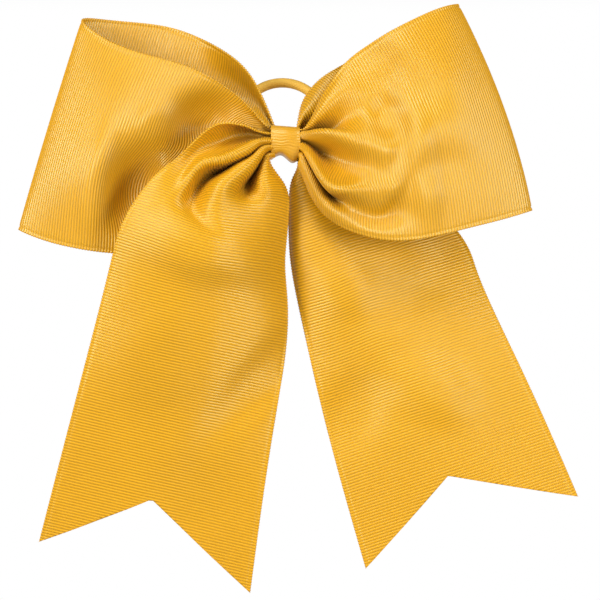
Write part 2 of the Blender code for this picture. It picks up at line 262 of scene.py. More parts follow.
def ribbed_sides(dense, run, along, across):
    """Front and back points of a ribbon, where each of its threads has run as far as along says,
    with ribs across it, a groove by each selvedge and the selvedges scalloped."""
    normal = normals_of(dense)
    normal[:, 0], normal[:, -1] = normal[:, 1], normal[:, -2]
    outward = {0: edge_direction(dense, 0, 2), len(across) - 1: edge_direction(dense, -1, -3)}
    groove = selvedge_groove(across, RIBBON_WIDTH, GROOVE_AT, GROOVE_WIDTH, GROOVE_DEPTH)
    ribs = 0.5 + 0.5 * np.cos(2 * math.pi * along / RIB_PITCH)
    front = np.empty(along.shape + (3,))
    back = np.empty_like(front)
    for c in range(len(across)):
        where, known, rib = along[:, c], run[::-1, c], ribs[:, c : c + 1]
        spot = read_at(where, known, dense[::-1, c])
        facing = read_at(where, known, normal[::-1, c])
        facing /= np.linalg.norm(facing, axis=1, keepdims=True)
        if c in outward:
            spot = spot + SCALLOP * (rib - 0.5) * read_at(where, known, outward[c][::-1])
        half = HALF_THICKNESS * (0.5 + 0.5 * groove[c]) + RIB_HEIGHT * rib * groove[c]
        front[:, c] = spot + facing * half
        back[:, c] = spot - facing * half
    return front, back


def stitch(front, back, first, last):
    """Points and faces of a closed sheet between two grids. Column c keeps its rows first[c] to
    last[c], and the rows past either end fold into that end's point."""
    columns = range(front.shape[1])
    numbers = np.empty(front.shape[:2], int)
    points, faces = [], []
    for c in columns:
        used = slice(first[c], last[c] + 1)
        numbers[used, c] = len(points) + np.arange(last[c] + 1 - first[c])
        numbers[: first[c], c] = numbers[first[c], c]
        numbers[last[c] + 1 :, c] = numbers[last[c], c]
        points.extend(front[used, c])
    side = len(points)
    for c in columns:
        points.extend(back[first[c] : last[c] + 1, c])
    corners = (numbers[:-1, :-1], numbers[1:, :-1], numbers[1:, 1:], numbers[:-1, 1:])
    for quad in np.stack(corners, axis=-1).reshape(-1, 4).tolist():
        ring = [p for i, p in enumerate(quad) if p != quad[i - 1]]
        if len(ring) > 2:
            faces.append(ring)
            faces.append([p + side for p in ring[::-1]])
    rim = [int(numbers[first[c], c]) for c in columns]
    rim += [int(numbers[r, -1]) for r in range(first[-1] + 1, last[-1] + 1)]
    rim += [int(numbers[last[c], c]) for c in columns[-2::-1]]
    rim += [int(numbers[r, 0]) for r in range(last[0] - 1, first[0], -1)]
    for here, there in zip(rim, rim[1:] + rim[:1]):
        faces.append([here, there, there + side, here + side])
    return points, faces


def sheet_uvs(along, across, width, first, last):
    """UVs in metres for the points of a stitched sheet, its front and then its back."""
    uvs = [(place * MM, share * width * MM)
           for c, share in enumerate(across) for place in along[first[c] : last[c] + 1, c]]
    return uvs + uvs


def ribbon_mesh(name, stations, counted_from=-1, notch=0.0, notch_at=0.5, dents=()):
    """A closed ribbed ribbon, its length and its notch. Its ribs are counted along each thread
    from one station, so they keep their spacing over the pleats. A notch cuts an inverted V that
    deep into the last end."""
    across = places_across(SELVEDGE, INNER_COLUMNS)
    dense, rows_of = loft(stations, across)
    press(dense, rows_of[counted_from], dents)
    run = run_to(dense, rows_of[counted_from] if counted_from >= 0 else -1)
    depth = notch * np.clip(np.minimum(across / notch_at, (1 - across) / (1 - notch_at)), 0, 1)
    low, high = run[-1] + depth, run[0]
    step = RIB_PITCH / ROWS_PER_RIB
    places = step * np.arange(math.floor(low.min() / step), math.ceil(high.max() / step) + 1)
    first = np.searchsorted(places, low, side="right") - 1
    last = np.searchsorted(places, high, side="left")
    along = np.clip(places[:, None], low, high)
    front, back = ribbed_sides(dense, run, along, across)
    made = new_object(name, *stitch(front, back, first, last))
    lay_uv(made.data, sheet_uvs(along, across, RIBBON_WIDTH, first, last))
    return made, float((high - run[-1]).mean()), notch


def new_object(name, points, faces):
    """A smooth mesh object from points in millimetres, with its faces turned outward."""
    mesh = bpy.data.meshes.new(name)
    mesh.from_pydata((np.asarray(points) * MM).tolist(), [], faces)
    mesh.validate()
    mesh.calc_loop_triangles()
    corners = np.empty(len(mesh.loop_triangles) * 3, np.int32)
    mesh.loop_triangles.foreach_get("vertices", corners)
    places = np.empty(len(mesh.vertices) * 3, np.float32)
    mesh.vertices.foreach_get("co", places)
    triangles = places.reshape(-1, 3).astype(float)[corners.reshape(-1, 3)]
    if np.linalg.det(triangles).sum() < 0:
        mesh.flip_normals()
    mesh.polygons.foreach_set("use_smooth", [True] * len(mesh.polygons))
    made = bpy.data.objects.new(name, mesh)
    bpy.context.scene.collection.objects.link(made)
    return made


def lay_uv(mesh, uvs):
    """UV in metres: U runs along the ribbon, V across it."""
    layer = mesh.uv_layers.new(name="weave")
    vertices = np.empty(len(mesh.loops), np.int32)
    mesh.loops.foreach_get("vertex_index", vertices)
    layer.data.foreach_set("uv", np.asarray(uvs, np.float32)[vertices].ravel())


# ---------------------------------------------------------------- ribbons


def left_loop():
    """From the knot out along the front layer, round the outer fold and back behind."""
    front = [
        fan((-4.0, 4.8), (-4.0, -4.0),
            (-11.5, -10.2, -11.5, -10.2, -11.4, -10.2, -11.4, -10.3, -11.2)),
        fan((-7.0, 6.6), (-7.0, -5.8),
            (-12.0, -10.4, -11.3, -10.4, -11.2, -10.4, -11.2, -10.4, -11.2)),
        fan((-10.1, 9.9), (-10.3, -10.3),
            (-13.6, -11.2, -10.8, -9.9, -10.4, -9.9, -10.6, -10.4, -11.0)),
        fan((-16.5, 16.3), (-18.3, -20.9),
            (-16.2, -12.8, -10.8, -9.6, -9.4, -9.4, -9.8, -10.2, -10.8)),
        fan((-25.4, 22.3), (-30.7, -31.6),
            (-20.4, -18.0, -14.6, -12.4, -12.2, -12.8, -13.6, -14.2, -14.4)),
        fan((-36.0, 27.0), (-45.0, -37.0),
            (-22.8, -23.4, -21.0, -17.4, -16.8, -17.0, -17.4, -17.6, -17.0)),
        fan((-48.4, 30.5), (-60.1, -38.3),
            (-22.8, -24.6, -25.4, -24.6, -22.4, -19.6, -18.6, -18.8, -18.0)),
        fan((-58.3, 34.0), (-75.0, -36.2),
            (-20.6, -22.6, -24.0, -24.8, -25.2, -24.8, -23.4, -21.2, -18.6)),
        fan((-66.1, 38.4), (-86.2, -33.2),
            (-16.4, -17.8, -18.8, -19.4, -19.8, -19.8, -19.0, -17.4, -15.4)),
    ]
    fold = [plain((-71.5, -10.4, 44.0), (-93.8, -10.4, -29.8), 0.0, 9, -0.4)]
    behind = [
        plain((-65.5, -4.0, 44.7), (-86.0, -4.4, -31.0), 0.4, 9),
        plain((-55.5, 0.8, 44.2), (-73.0, 0.6, -32.4), 0.8, 9),
        plain((-43.1, 3.8, 42.9), (-58.0, 3.4, -32.6), 1.0, 9),
        plain((-32.4, 3.0, 39.4), (-43.0, 3.0, -30.2), 0.8, 9),
        fan((-21.8, 33.3), (-28.5, -23.0), (-2.2, 1.8, 1.2, -1.4, 0.0, -1.6, -0.4, -1.8, -1.4)),
        fan((-13.2, 25.2), (-16.5, -13.5),
            (-6.6, -3.0, -4.0, -6.4, -5.0, -6.8, -5.4, -6.8, -6.0)),
        fan((-8.4, 16.6), (-9.2, -7.0), (-8.6, -6.4, -7.4, -9.0, -7.4, -8.8, -7.4, -8.8, -8.0)),
        fan((-4.0, 5.8), (-4.0, -3.8), (-9.0, -7.8, -9.2, -8.0, -9.2, -8.0, -9.2, -8.0, -8.8)),
    ]
    dents = (
        (-29.5, 10.0, 9.0, 7.0, 30.0, 4.6),
        (-53.0, -15.0, 8.5, 14.0, -12.0, 6.4),
        (-66.0, -14.0, 4.5, 17.0, -12.0, -2.2),
        (-46.0, 6.0, 6.0, 9.0, -35.0, -2.4),
    )
    return ribbon_mesh("left_loop_ribbon", front + fold + behind, len(front), dents=dents)


def right_loop():
    """Front rails: selvedge, upper face, valley, lobe top, lobe face, hollow, fold top, fold
    edge, lower hollow, strip and selvedge."""
    front = [
        [(4.0, -14.4, 5.0), (4.0, -13.6, 4.5), (4.0, -12.8, 3.9), (4.0, -14.9, 3.2),
         (4.0, -14.4, 2.2), (4.0, -12.8, 1.2), (4.0, -14.8, 0.4), (4.0, -14.9, -1.2),
         (4.0, -12.8, -2.0), (4.0, -14.4, -3.0), (4.0, -13.4, -4.2)],
        [(6.0, -14.8, 5.3), (6.2, -14.8, 5.0), (6.3, -12.6, 4.6), (6.2, -16.8, 3.7),
         (6.3, -16.2, 2.4), (6.2, -12.0, 0.9), (6.0, -16.4, -0.4), (5.7, -17.0, -2.0),
         (5.9, -12.6, -2.6), (5.4, -16.0, -3.5), (4.8, -14.0, -5.2)],
        [(7.2, -15.6, 6.4), (7.8, -16.2, 5.9), (8.2, -12.4, 3.9), (7.9, -19.0, 4.0),
         (8.4, -18.4, 2.7), (8.9, -11.2, -0.4), (7.7, -18.4, -1.9), (7.0, -19.8, -3.8),
         (7.5, -12.0, -4.9), (6.2, -17.2, -5.2), (4.4, -14.4, -6.8)],
        [(9.5, -17.0, 10.2), (10.2, -19.2, 8.6), (11.0, -12.6, 4.4), (11.2, -22.4, 4.4),
         (12.2, -21.8, 2.4), (12.4, -10.9, -2.9), (10.9, -20.2, -5.8), (9.6, -24.4, -8.8),
         (10.7, -11.8, -10.4), (8.6, -19.2, -10.6), (5.8, -15.4, -11.6)],
        [(12.0, -18.4, 15.6), (13.6, -21.2, 12.0), (15.2, -13.4, 4.2), (15.4, -25.6, 4.2),
         (16.8, -25.0, 1.4), (17.4, -15.8, -4.6), (15.6, -21.6, -10.2), (13.2, -28.2, -14.6),
         (15.7, -11.8, -17.2), (12.0, -20.4, -17.6), (8.4, -16.6, -17.6)],
        [(15.8, -19.6, 21.4), (18.2, -22.0, 15.8), (20.0, -18.6, 7.2), (21.0, -27.0, 3.2),
         (22.8, -27.0, -0.6), (23.0, -21.6, -6.6), (21.0, -24.6, -12.6), (18.0, -29.4, -16.8),
         (18.4, -17.2, -20.0), (15.4, -21.6, -21.6), (12.4, -18.0, -23.8)],
        [(20.9, -20.8, 28.2), (24.2, -23.2, 20.4), (26.4, -22.0, 11.4), (28.0, -26.8, 3.4),
         (29.2, -28.2, -1.8), (29.0, -25.2, -7.4), (27.6, -26.2, -13.4), (25.0, -28.2, -18.2),
         (23.4, -22.6, -22.4), (21.2, -22.2, -26.2), (19.2, -19.6, -29.0)],
        [(28.4, -22.4, 34.0), (32.0, -24.6, 25.2), (33.8, -23.8, 16.4), (34.8, -26.2, 7.6),
         (35.6, -29.2, -1.8), (35.2, -27.0, -8.2), (34.6, -27.2, -14.6), (33.0, -27.8, -20.6),
         (31.2, -23.2, -25.4), (29.8, -23.0, -29.6), (28.6, -21.4, -32.6)],
        fan((38.6, 39.9), (44.2, -33.7),
            (-23.8, -25.4, -25.4, -25.2, -26.4, -27.6, -26.8, -25.0, -24.6, -23.6, -22.4), 3.0),
        fan((50.4, 45.8), (64.5, -29.3),
            (-20.8, -22.2, -23.4, -24.2, -24.4, -24.6, -24.0, -22.6, -22.0, -21.4, -20.4), 2.6),
        plain((57.0, -16.6, 48.3), (77.6, -16.4, -25.9), -1.6, 11, 2.8),
    ]
    fold = [plain((60.1, -11.0, 49.0), (86.0, -11.0, -23.2), -0.4, 11, 3.0)]
    behind = [
        plain((55.0, -4.8, 47.0), (78.4, -5.0, -24.8), 0.4, 11, 2.0),
        plain((45.4, -0.8, 43.2), (65.4, -1.0, -27.0), 0.8, 11),
        plain((34.6, 1.4, 38.0), (50.5, 1.0, -28.0), 0.8, 11),
        plain((25.0, 0.0, 32.0), (36.5, -1.0, -26.0), 0.4, 11),
        fan((16.2, 26.3), (23.5, -20.0),
            (-5.6, -8.2, -8.0, -6.2, -5.0, -4.4, -4.2, -4.2, -4.4, -4.6, -4.8)),
        fan((9.6, 20.9), (13.6, -13.0),
            (-8.0, -11.0, -12.4, -11.6, -9.4, -8.4, -7.6, -8.6, -7.4, -8.6, -7.6)),
        fan((5.7, 14.8), (8.0, -6.6),
            (-9.2, -12.2, -13.2, -11.4, -9.6, -10.4, -8.8, -10.4, -9.0, -10.4, -9.4), 0.8),
        fan((4.5, 10.4), (6.0, -4.8),
            (-9.8, -12.8, -12.6, -10.4, -10.8, -9.4, -10.8, -9.4, -10.8, -9.6, -10.2), 0.4),
        fan((3.8, 6.0), (4.0, -3.2),
            (-10.2, -11.8, -10.6, -11.6, -10.2, -11.4, -10.2, -11.4, -10.2, -11.4, -10.4)),
    ]
    dents = (
        (36.0, 8.0, 6.0, 8.0, 15.0, 4.0),
        (32.0, -23.0, 10.0, 6.0, -8.0, 3.4),
        (31.0, 26.0, 10.0, 9.0, -30.0, 2.8),
        (48.0, -10.0, 5.0, 18.0, 8.0, -1.8),
    )
    return ribbon_mesh("right_loop_ribbon", front + fold + behind, len(front), dents=dents)


def left_tail():
    """Rails: selvedge, wall, channel, upper face, first crest and its edge, valley, second
    crest and its edge, hollow, third pleat and inner selvedge."""
    stations = [
        [(-4.0, -14.6, 3.6), (-4.0, -13.6, 3.3), (-4.0, -12.6, 2.6), (-4.0, -13.8, 1.9),
         (-4.0, -15.0, 1.2), (-4.0, -14.4, 0.4), (-4.0, -12.8, -0.1), (-4.0, -15.0, -1.0),
         (-4.0, -14.2, -2.0), (-4.0, -12.6, -2.5), (-4.0, -14.8, -3.4), (-4.0, -13.4, -4.3)],
        [(-6.6, -15.6, 3.8), (-6.6, -13.8, 3.2), (-6.6, -12.4, 2.7), (-6.8, -15.4, 2.0),
         (-6.8, -17.6, 1.1), (-6.6, -16.2, 0.2), (-6.3, -12.6, -0.2), (-6.3, -17.2, -1.0),
         (-6.0, -15.8, -2.1), (-5.9, -12.6, -2.6), (-5.9, -16.2, -3.8), (-5.6, -14.0, -5.0)],
        [(-9.3, -17.6, 4.1), (-9.2, -13.6, 3.9), (-9.1, -12.0, 2.9), (-9.6, -16.6, 1.7),
         (-9.5, -20.4, 0.7), (-8.9, -18.6, -0.5), (-8.5, -12.8, -0.9), (-8.3, -19.8, -1.7),
         (-7.5, -18.0, -3.0), (-7.6, -12.4, -3.6), (-6.8, -17.8, -4.4), (-5.8, -14.4, -6.1)],
        [(-13.4, -21.2, 5.6), (-13.2, -14.0, 5.4), (-12.8, -11.2, 3.2), (-13.4, -18.6, 0.6),
         (-12.9, -24.2, -1.6), (-12.0, -22.0, -2.9), (-11.9, -12.8, -3.4), (-11.4, -23.2, -5.2),
         (-10.3, -22.2, -6.8), (-11.0, -11.2, -8.8), (-7.9, -19.6, -8.2), (-5.2, -14.8, -7.7)],
        [(-18.6, -23.8, 6.6), (-18.8, -16.8, 5.8), (-18.5, -12.8, 2.8), (-18.2, -20.4, -1.2),
         (-17.4, -27.2, -3.6), (-16.2, -25.2, -5.1), (-16.3, -13.6, -6.1), (-15.4, -26.2, -8.0),
         (-13.5, -25.6, -10.0), (-12.8, -11.4, -12.4), (-8.8, -21.2, -12.2), (-3.2, -14.8, -10.6)],
        [(-23.8, -25.4, 6.2), (-24.6, -21.2, 3.9), (-24.4, -18.6, 0.5), (-23.9, -22.6, -3.1),
         (-22.8, -29.0, -5.8), (-21.8, -26.4, -7.4), (-21.8, -15.0, -9.6), (-19.8, -28.2, -11.4),
         (-17.2, -27.2, -13.4), (-13.8, -14.6, -15.4), (-8.9, -22.0, -15.6), (-0.7, -14.8, -14.2)],
        [(-28.6, -26.6, 3.2), (-29.4, -24.4, 0.9), (-29.8, -23.0, -1.9), (-29.3, -25.0, -4.6),
         (-28.4, -29.4, -7.0), (-27.4, -26.4, -8.8), (-27.0, -18.6, -12.2), (-23.6, -29.2, -14.2),
         (-19.6, -28.6, -16.4), (-14.6, -19.6, -18.4), (-8.7, -22.0, -18.0), (0.5, -14.8, -17.4)],
        [(-37.2, -27.6, -5.0), (-37.0, -27.0, -7.4), (-36.2, -26.6, -9.8), (-35.4, -27.8, -11.8),
         (-34.0, -29.4, -13.4), (-32.8, -25.6, -15.2), (-31.4, -22.6, -17.6), (-26.0, -29.4, -19.4),
         (-20.4, -28.8, -20.2), (-14.2, -24.6, -22.0), (-7.6, -21.6, -22.6), (0.9, -14.4, -22.4)],
        [(-43.9, -28.2, -10.3), (-42.6, -29.0, -13.2), (-41.0, -29.4, -16.0), (-39.2, -29.8, -18.6),
         (-37.2, -29.4, -20.4), (-35.0, -27.2, -22.2), (-32.2, -26.0, -24.0), (-26.6, -29.2, -25.6),
         (-20.2, -28.4, -27.4), (-13.6, -25.6, -29.2), (-6.8, -21.2, -30.4), (0.2, -13.8, -31.4)],
        fan((-54.1, -23.5), (-0.6, -42.0),
            (-28.6, -29.8, -30.4, -30.8, -30.8, -30.4, -29.6, -28.2, -26.2, -23.2, -18.8, -12.6)),
        fan((-60.2, -39.8), (0.3, -55.3),
            (-26.0, -27.4, -28.2, -28.6, -28.6, -28.2, -27.2, -25.6, -23.6, -21.0, -17.2, -11.8)),
        plain((-72.3, -18.0, -85.0), (-4.2, -10.4, -98.0), -3.0, 12),
        plain((-87.1, -8.4, -139.7), (-12.8, -5.8, -158.0), -0.8, 12),
    ]
    dents = (
        (-28.0, -37.0, 23.0, 10.0, -14.0, -4.0),
        (-8.0, -82.0, 26.0, 8.0, 48.0, 2.4),
        (-40.0, -74.0, 22.0, 16.0, 20.0, -1.6),
        (-32.0, -124.0, 16.0, 14.0, 0.0, 1.2),
    )
    return ribbon_mesh("left_tail_ribbon", stations, notch=24.4, notch_at=0.47, dents=dents)


def right_tail():
    """From the inner selvedge, which curls back, to the outer one behind the loop."""
    stations = [
        [(4.0, -7.6, -3.8), (4.0, -6.9, -3.1), (4.0, -7.8, -2.4), (4.0, -6.9, -1.7),
         (4.0, -7.8, -0.9), (4.0, -6.9, -0.3), (4.0, -7.4, 0.3)],
        [(4.0, -6.6, -7.8), (5.2, -8.2, -7.6), (7.2, -6.8, -6.4), (8.8, -8.0, -5.2),
         (10.2, -6.2, -4.2), (11.2, -6.6, -3.2), (12.0, -5.4, -2.2)],
        [(2.3, -6.4, -11.6), (4.0, -8.0, -12.2), (8.0, -7.4, -12.0), (11.6, -6.6, -10.6),
         (14.8, -5.0, -8.8), (17.6, -3.4, -6.6), (20.4, -1.2, -4.0)],
        [(1.2, -5.8, -16.6), (3.0, -7.8, -17.4), (8.6, -8.0, -18.2), (14.0, -5.6, -16.6),
         (19.6, -2.6, -13.6), (25.0, 0.8, -10.4), (30.0, 3.8, -6.8)],
        [(0.9, -5.4, -24.0), (2.9, -7.8, -24.8), (10.4, -9.2, -26.2), (18.2, -6.6, -24.4),
         (26.0, -1.8, -20.4), (33.2, 3.0, -16.0), (40.0, 6.6, -11.4)],
        [(1.0, -5.2, -33.0), (3.2, -7.8, -33.6), (12.6, -9.6, -34.6), (22.4, -7.0, -33.2),
         (32.2, -1.6, -29.6), (41.8, 4.0, -24.4), (51.0, 7.4, -19.0)],
        [(2.0, -5.0, -44.0), (4.6, -7.4, -44.2), (15.8, -9.4, -43.8), (27.6, -7.2, -42.0),
         (39.4, -2.2, -39.2), (51.2, 3.4, -36.0), (62.4, 6.2, -31.8)],
        [(5.5, -4.6, -62.0), (9.0, -6.4, -61.6), (20.6, -8.0, -59.8), (32.2, -6.8, -57.2),
         (44.2, -3.4, -53.8), (56.0, 0.4, -49.2), (67.6, 4.0, -43.6)],
        fan((13.5, -97.0), (82.4, -77.0), (-4.6, -6.0, -7.0, -6.4, -4.4, -2.0, 0.0)),
        fan((28.0, -149.4), (103.1, -124.1), (-6.0, -6.8, -7.0, -6.6, -5.8, -5.0, -4.0)),
    ]
    dents = (
        (40.0, -57.0, 12.0, 7.0, 20.0, 0.8),
        (24.0, -94.0, 10.0, 14.0, -30.0, 2.2),
        (52.0, -86.0, 14.0, 10.0, -35.0, -2.2),
        (20.0, -50.0, 10.0, 10.0, -10.0, -1.8),
    )
    return ribbon_mesh("right_tail_ribbon", stations, notch=21.8, notch_at=0.48, dents=dents)


# ---------------------------------------------------------------- knot and elastic


def knot_band():
    """The narrow ribbon wrapped round the gathers, its ends overlapping at the back. Its lower
    front edge arches over the gap between the tails."""
    top, bottom, front, corner = 6.2, -4.7, -15.75, 3.2
    inner, outer = -1.65, -0.25

    def arc(y, z, start, end):
        turns = np.radians(np.linspace(start, end, 7))
        return [(y + corner * math.cos(a), z + corner * math.sin(a)) for a in turns]

    line = [(inner, -3.0), (inner, 0.0), (inner, top - corner)]
    line += arc(inner - corner, top - corner, 20, 90)
    line += arc(front + corner, top - corner, 90, 165)
    line += [(front - 0.3, 1.6), (front - 0.3, 0.0)]
    line += arc(front + corner, bottom + corner, 195, 270)
    line += arc(outer - corner, bottom + corner, 270, 340)
    line += [(outer, bottom + corner), (outer, 1.0), (outer, 4.4)]
    shares = np.linspace(-1, 1, 11)
    hem = spline(np.array((-4.9, -3.7, -3.2, -4.7, -5.9, -5.2))[:, None],
                 np.array((-1.0, -0.62, -0.25, 0.25, 0.62, 1.0)), shares)[:, 0]
    # low and high run from 0 to 1 towards the band's lower and upper edges, where the band leans.
    # Between them its ribs wave slightly, and its front is a little cupped.
    stations = []
    for y, z in line:
        low = min(max((-0.6 - z) / 4.1, 0.0), 1.0)
        high = min(max((z - 1.0) / 5.2, 0.0), 1.0)
        left, right = -5.35 - 0.15 * low, 4.95 - 0.2 * high - 1.1 * low
        station = []
        for share, edge in zip(shares, hem):
            x = left + (right - left) * (share + 1) / 2
            wave = 0.22 * math.sin(1.15 * x + 0.5) * (1 - low) * (1 - high)
            cup = 0.3 * math.cos(0.62 * x + 0.6) if y < -8 else 0.0
            tall = z + low * (edge - bottom) - high * 0.075 * (x + 1.0) + wave
            station.append((x, y - cup, tall))
        stations.append(station)
    return stations


def wrapped_band():
    """The knot band as a closed strip, its ribs boldest across the middle of its front."""
    faint, bold, behind = 0.05, 0.16, 0.08
    front_from, belt_at, belt_reach = -12.0, 1.0, 2.3
    stations = np.array(knot_band(), float)
    knots = station_places(stations)
    ribs = int(round(knots[-1] / BAND_PITCH))
    rows = np.linspace(0, knots[-1], ribs * BAND_ROWS_PER_RIB + 1)
    across = places_across(BAND_SELVEDGE, BAND_INNER_COLUMNS)
    rails = [read_at(rows, knots, stations[:, r]) for r in range(stations.shape[1])]
    rails = np.stack(rails, axis=1)
    for _ in range(3):
        rails[1:-1] = (rails[:-2] + 2 * rails[1:-1] + rails[2:]) / 4
    shares = np.linspace(0, 1, rails.shape[1])
    grid = spline(rails.transpose(1, 0, 2), shares, across).transpose(1, 0, 2)
    rib = 0.5 + 0.5 * np.cos(2 * math.pi * rows / (knots[-1] / ribs))[:, None]
    groove = selvedge_groove(across, BAND_WIDTH, BAND_GROOVE_AT, BAND_GROOVE_WIDTH, BAND_GROOVE_DEPTH)
    in_front = 1 / (1 + np.exp((grid[..., 1] - front_from) * 2))
    belt = np.exp(-(((grid[..., 2] - belt_at) / belt_reach) ** 4))
    height = faint + bold * in_front * belt + behind * (1 - in_front)
    half = normals_of(grid) * (BAND_HALF_THICKNESS + height * rib * groove)[..., None]
    first = [0] * len(across)
    last = [len(rows) - 1] * len(across)
    made = new_object("knot_wrap", *stitch(grid + half, grid - half, first, last))
    along = np.broadcast_to(rows[:, None], grid.shape[:2])
    lay_uv(made.data, sheet_uvs(along, across, BAND_WIDTH, first, last))
    return made


def gathers():
    """The ribbon's gathered waist: a bundle of creased pleats, tight under its thread."""
    creases, crease_depth, squeeze = 9, 0.16, 0.12
    along = np.linspace(-WAIST_HALF_LENGTH, WAIST_HALF_LENGTH, 60)
    turn = np.linspace(0, 2 * math.pi, 240, endpoint=False)
    tight = np.exp(-((along / 3.0) ** 2))[:, None]
    crease = np.abs(np.sin(creases / 2 * turn + 0.6 * np.sin(2 * turn)))[None, :]
    swirl = 0.25 * np.sin(along / 2.2)[:, None]
    size = (1 - crease_depth * (1 - 0.35 * tight) * (1 - crease)) * (1 - squeeze * tight)
    y = WAIST_CENTRE[0] + WAIST_REACH[0] * size * np.cos(turn + swirl)
    z = WAIST_CENTRE[1] + WAIST_REACH[1] * size * np.sin(turn + swirl)
    points = np.stack([np.broadcast_to(along[:, None], y.shape), y, z], -1)
    return tube_object("waist_gathers", points, False)


def binding():
    """A two-ply thread wound round the waist."""
    turns, steps, sides, twists = 6, 90, 10, 22
    share = np.linspace(0, 1, turns * steps + 1)
    angle = 2 * math.pi * turns * share
    along = THREAD_HALF_LENGTH * (2 * share - 1)
    y = WAIST_CENTRE[0] + THREAD_REACH[0] * np.cos(angle)
    z = WAIST_CENTRE[1] + THREAD_REACH[1] * np.sin(angle)
    out = np.stack([0 * angle, np.cos(angle), np.sin(angle)], -1)
    turn = np.linspace(0, 2 * math.pi, sides, endpoint=False)
    radius = THREAD_RADIUS + THREAD_PLY * np.cos(2 * turn[None, :] + twists * angle[:, None])
    points = rings_round(np.stack([along, y, z], -1), turn, radius, np.array((1.0, 0.0, 0.0)), out)
    return tube_object("waist_thread", points, False)


def rings_round(path, turn, radius, first, second):
    """Rings of points round a path. Turns start at the direction first, the same all along, and
    go towards second, which has a direction for each point of the path."""
    cos, sin = np.cos(turn)[None, :, None], np.sin(turn)[None, :, None]
    return path[:, None] + radius[..., None] * (cos * first + sin * second[:, None])


def tube_object(name, rings, closed):
    """A tube through rings of points: closed on itself, or with a flat cap at each end."""
    count, sides = rings.shape[:2]
    faces = []
    for i in range(count if closed else count - 1):
        j = (i + 1) % count
        for k in range(sides):
            m = (k + 1) % sides
            faces.append((i * sides + k, i * sides + m, j * sides + m, j * sides + k))
    if not closed:
        faces.append(tuple(range(sides))[::-1])
        faces.append(tuple((count - 1) * sides + k for k in range(sides)))
    return new_object(name, rings.reshape(-1, 3), faces)


def ring_line(count):
    """The elastic's centre line, and its length: a circle whose foot is a straight strand through
    the knot."""
    centre = RING_HEIGHT - RING_RADIUS
    start = math.asin((RING_FOOT - centre) / RING_RADIUS)
    sweep = np.linspace(start, math.pi - start, 80)
    upright = np.stack([RING_RADIUS * np.cos(sweep), centre + RING_RADIUS * np.sin(sweep)], -1)
    cos, sin = math.cos(RING_TILT), math.sin(RING_TILT)
    circle = upright @ np.array(((cos, sin), (-sin, cos)))
    right = ring_turn(1, circle[0])
    left = ring_turn(-1, circle[-1])[::-1]
    strand = [(x, 0.0) for x in np.linspace(-STRAND_REACH, STRAND_REACH, 12)[1:-1]]
    flat = np.array(strand + right + circle.tolist() + left)
    flat = np.vstack([flat, flat[:1]])
    length = distance_along(flat)
    flat = read_at(np.linspace(0, length[-1], count, endpoint=False), length, flat)
    for _ in range(6):
        flat = (np.roll(flat, 1, axis=0) + 2 * flat + np.roll(flat, -1, axis=0)) / 4
    up = np.array((0.0, math.sin(RING_LEAN), math.cos(RING_LEAN)))
    path = np.array(STRAND) + flat[:, :1] * np.array((1.0, 0.0, 0.0)) + flat[:, 1:] * up
    return path, length[-1]


def ring_turn(side, end, steps=10):
    """The bend from the end of the straight strand, on side +1 or -1, up to the circle."""
    begin = np.array((side * STRAND_REACH, 0.0))
    pull = np.array((side * (STRAND_REACH + RING_FILLET), 0.2))
    return [(1 - t) ** 2 * begin + 2 * t * (1 - t) * pull + t * t * end
            for t in np.linspace(0, 1, steps, endpoint=False)]


def elastic_ring():
    """A tube with the fine diagonal relief of its knitted cover."""
    count, sides, mean_relief = 420, 40, 1.2
    path, length = ring_line(count)
    normal = np.array((0.0, -math.cos(RING_LEAN), math.sin(RING_LEAN)))
    tangent = np.roll(path, -1, axis=0) - np.roll(path, 1, axis=0)
    tangent /= np.linalg.norm(tangent, axis=1, keepdims=True)
    turn = np.linspace(0, 2 * math.pi, sides, endpoint=False)
    along = np.arange(count)[:, None] * length / count
    wave = 2 * math.pi * along / BRAID_PITCH
    strands = BRAID_STRANDS * turn[None]
    relief = np.abs(np.sin(strands + wave)) + np.abs(np.sin(strands - wave))
    radius = COVER_RADIUS + BRAID_RELIEF * (relief - mean_relief)
    points = rings_round(path, turn, radius, normal, np.cross(tangent, normal))
    made = tube_object("elastic_ring_cover", points, True)
    uvs = np.stack(np.broadcast_arrays(along * MM, turn[None] * COVER_RADIUS * MM), -1)
    lay_uv(made.data, uvs.reshape(-1, 2))
    return made


# ---------------------------------------------------------------- materials


def shader_of(name):
    """A new material, its node tree and its main shader."""
    made = bpy.data.materials.new(name)
    made.use_nodes = True
    tree = made.node_tree
    return made, tree, tree.nodes["Principled BSDF"]


def node(tree, kind, **settings):
    made = tree.nodes.new(kind)
    for key, value in settings.items():
        setattr(made, key, value)
    return made


def feed(tree, socket, value):
    """Links a socket to another node's output, or sets it to a constant."""
    if isinstance(value, bpy.types.NodeSocket):
        tree.links.new(value, socket)
    else:
        socket.default_value = value


def calculated(tree, operation, *values):
    """One sum or function of one or more values."""
    made = node(tree, "ShaderNodeMath", operation=operation)
    for socket, value in zip(made.inputs, values):
        feed(tree, socket, value)
    return made.outputs[0]


def ranged(tree, value, source=(0.0, 1.0), target=(0.0, 1.0), kind="LINEAR"):
    """A value carried from one range to another."""
    made = node(tree, "ShaderNodeMapRange", interpolation_type=kind)
    feed(tree, made.inputs["Value"], value)
    for socket, limit in zip(("From Min", "From Max", "To Min", "To Max"), source + target):
        made.inputs[socket].default_value = limit
    return made.outputs["Result"]


def mixed(tree, factor, first, second):
    """A colour between two others."""
    made = node(tree, "ShaderNodeMix", data_type="RGBA")
    feed(tree, made.inputs["Factor"], factor)
    feed(tree, made.inputs["A"], first)
    feed(tree, made.inputs["B"], second)
    return made.outputs["Result"]


